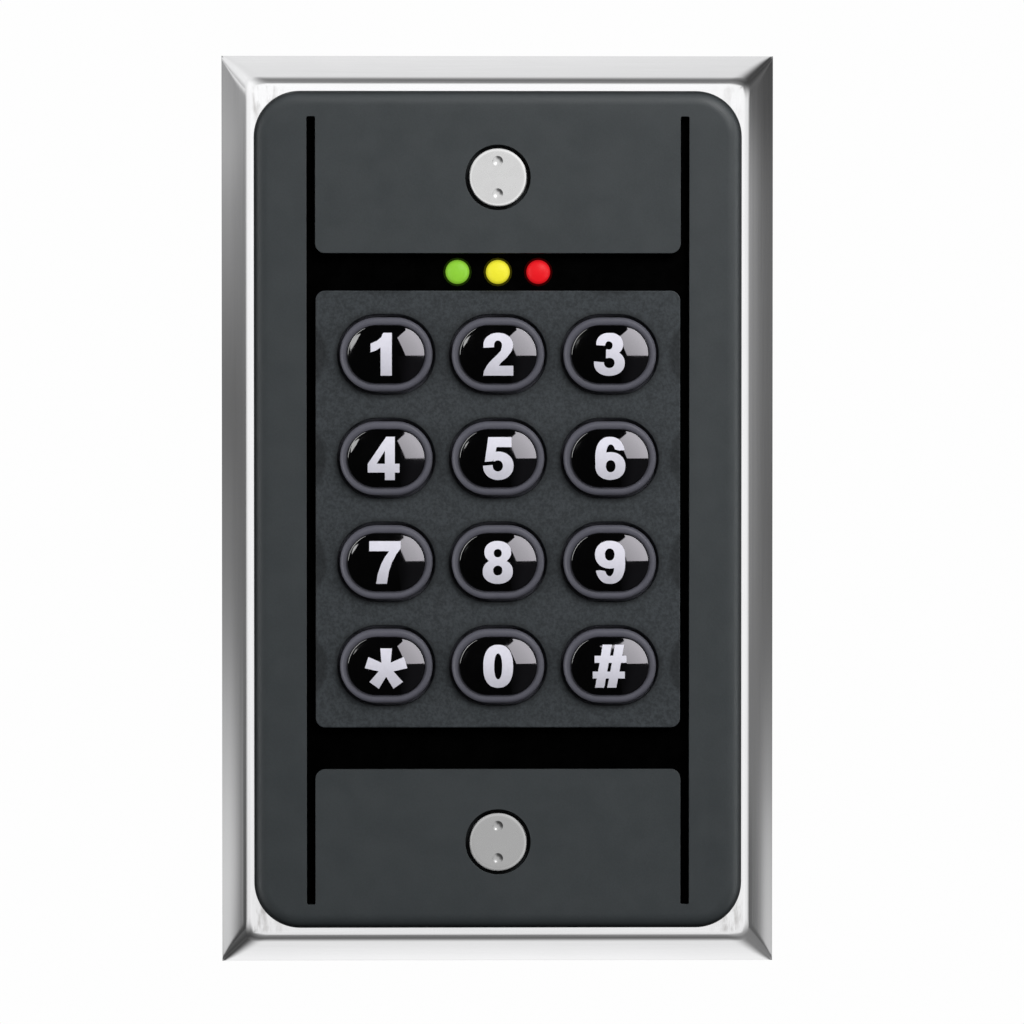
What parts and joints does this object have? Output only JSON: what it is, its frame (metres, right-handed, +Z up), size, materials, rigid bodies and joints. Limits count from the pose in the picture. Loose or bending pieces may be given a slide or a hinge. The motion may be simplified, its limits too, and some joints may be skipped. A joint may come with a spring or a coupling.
{
  "type": "keypad access reader",
  "caption": "Flush wall-box keypad access reader: bevelled steel trim plate, charcoal cover, sprung oval keys, indicator lights and a deep rear housing with harness sockets.",
  "frame": {"origin": "centre of the trim plate in the plane of the wall that it stands on", "axes": "+Z up along the plate's long side, +X to the right as seen from the front, -Y out of the wall towards the user (keys face -Y)"},
  "size_m": [0.07, 0.0454, 0.115],
  "materials": {
    "stainless_steel": "brushed, bright rim",
    "charcoal_abs": "fine moulded texture",
    "panel_abs": "coarser moulded grain",
    "gloss_black_abs": "gloss",
    "violet_grey_silicone": "satin silicone",
    "gloss_black_cap": "high gloss, printed legends",
    "plated_steel": "satin plated",
    "foam_rubber": "closed-cell foam",
    "black_housing_abs": "fine moulded texture",
    "mat_silicone": "matt silicone",
    "circuit_board": "solder mask",
    "enamelled_copper": "enamelled copper wire",
    "chip_epoxy": "moulded epoxy",
    "relay_case": "satin",
    "socket_nylon": "natural nylon",
    "nickel_brass": "nickel plated",
    "switch_body": "moulded",
    "plunger_nylon": "moulded",
    "led_green_epoxy": "diffused lens, lit",
    "led_yellow_epoxy": "diffused lens, lit",
    "led_red_epoxy": "diffused lens, lit"
  },
  "bodies": {
    "reader": {"trim_plate": "stainless_steel", "front_cover": "charcoal_abs", "keypad_panel": "panel_abs", "inner_frame": "gloss_black_abs", "led_green": "led_green_epoxy", "led_yellow": "led_yellow_epoxy", "led_red": "led_red_epoxy", "security_screw_top": "plated_steel", "security_screw_bottom": "plated_steel", "wall_gasket": "foam_rubber", "rear_housing": "black_housing_abs", "keypad_mat": "mat_silicone", "main_board": "circuit_board", "rear_board": "circuit_board", "antenna_coil": "enamelled_copper", "controller_chip": "chip_epoxy", "buzzer": "chip_epoxy", "lock_relay": "relay_case", "board_header": "chip_epoxy", "harness_socket": "socket_nylon", "relay_socket": "socket_nylon", "tamper_switch": "switch_body", "case_screw_top_right": "plated_steel", "board_screw_top_right": "plated_steel", "standoff_top_right": "nickel_brass", "case_screw_top_left": "plated_steel", "board_screw_top_left": "plated_steel", "standoff_top_left": "nickel_brass", "case_screw_bottom_right": "plated_steel", "board_screw_bottom_right": "plated_steel", "standoff_bottom_right": "nickel_brass", "case_screw_bottom_left": "plated_steel", "board_screw_bottom_left": "plated_steel", "standoff_bottom_left": "nickel_brass"},
    "key_1": {"key_1_button": "violet_grey_silicone", "key_1_cap": "gloss_black_cap"},
    "key_2": {"key_2_button": "violet_grey_silicone", "key_2_cap": "gloss_black_cap"},
    "key_3": {"key_3_button": "violet_grey_silicone", "key_3_cap": "gloss_black_cap"},
    "key_4": {"key_4_button": "violet_grey_silicone", "key_4_cap": "gloss_black_cap"},
    "key_5": {"key_5_button": "violet_grey_silicone", "key_5_cap": "gloss_black_cap"},
    "key_6": {"key_6_button": "violet_grey_silicone", "key_6_cap": "gloss_black_cap"},
    "key_7": {"key_7_button": "violet_grey_silicone", "key_7_cap": "gloss_black_cap"},
    "key_8": {"key_8_button": "violet_grey_silicone", "key_8_cap": "gloss_black_cap"},
    "key_9": {"key_9_button": "violet_grey_silicone", "key_9_cap": "gloss_black_cap"},
    "key_star": {"key_star_button": "violet_grey_silicone", "key_star_cap": "gloss_black_cap"},
    "key_0": {"key_0_button": "violet_grey_silicone", "key_0_cap": "gloss_black_cap"},
    "key_hash": {"key_hash_button": "violet_grey_silicone", "key_hash_cap": "gloss_black_cap"},
    "tamper": {"tamper_plunger": "plunger_nylon"}
  },
  "joints": [
    {"name": "key_1_press", "type": "slide", "parent": "reader", "child": "key_1", "axis": [0, 1, 0], "range_m": [0, 0.0012], "stiffness_N_per_m": 1200, "springref_m": -0.0003},
    {"name": "key_2_press", "type": "slide", "parent": "reader", "child": "key_2", "axis": [0, 1, 0], "range_m": [0, 0.0012], "stiffness_N_per_m": 1200, "springref_m": -0.0003},
    {"name": "key_3_press", "type": "slide", "parent": "reader", "child": "key_3", "axis": [0, 1, 0], "range_m": [0, 0.0012], "stiffness_N_per_m": 1200, "springref_m": -0.0003},
    {"name": "key_4_press", "type": "slide", "parent": "reader", "child": "key_4", "axis": [0, 1, 0], "range_m": [0, 0.0012], "stiffness_N_per_m": 1200, "springref_m": -0.0003},
    {"name": "key_5_press", "type": "slide", "parent": "reader", "child": "key_5", "axis": [0, 1, 0], "range_m": [0, 0.0012], "stiffness_N_per_m": 1200, "springref_m": -0.0003},
    {"name": "key_6_press", "type": "slide", "parent": "reader", "child": "key_6", "axis": [0, 1, 0], "range_m": [0, 0.0012], "stiffness_N_per_m": 1200, "springref_m": -0.0003},
    {"name": "key_7_press", "type": "slide", "parent": "reader", "child": "key_7", "axis": [0, 1, 0], "range_m": [0, 0.0012], "stiffness_N_per_m": 1200, "springref_m": -0.0003},
    {"name": "key_8_press", "type": "slide", "parent": "reader", "child": "key_8", "axis": [0, 1, 0], "range_m": [0, 0.0012], "stiffness_N_per_m": 1200, "springref_m": -0.0003},
    {"name": "key_9_press", "type": "slide", "parent": "reader", "child": "key_9", "axis": [0, 1, 0], "range_m": [0, 0.0012], "stiffness_N_per_m": 1200, "springref_m": -0.0003},
    {"name": "key_star_press", "type": "slide", "parent": "reader", "child": "key_star", "axis": [0, 1, 0], "range_m": [0, 0.0012], "stiffness_N_per_m": 1200, "springref_m": -0.0003},
    {"name": "key_0_press", "type": "slide", "parent": "reader", "child": "key_0", "axis": [0, 1, 0], "range_m": [0, 0.0012], "stiffness_N_per_m": 1200, "springref_m": -0.0003},
    {"name": "key_hash_press", "type": "slide", "parent": "reader", "child": "key_hash", "axis": [0, 1, 0], "range_m": [0, 0.0012], "stiffness_N_per_m": 1200, "springref_m": -0.0003},
    {"name": "tamper_press", "type": "slide", "parent": "reader", "child": "tamper", "axis": [0, 1, 0], "range_m": [0, 0.0007], "stiffness_N_per_m": 600, "springref_m": -0.0005}
  ]
}
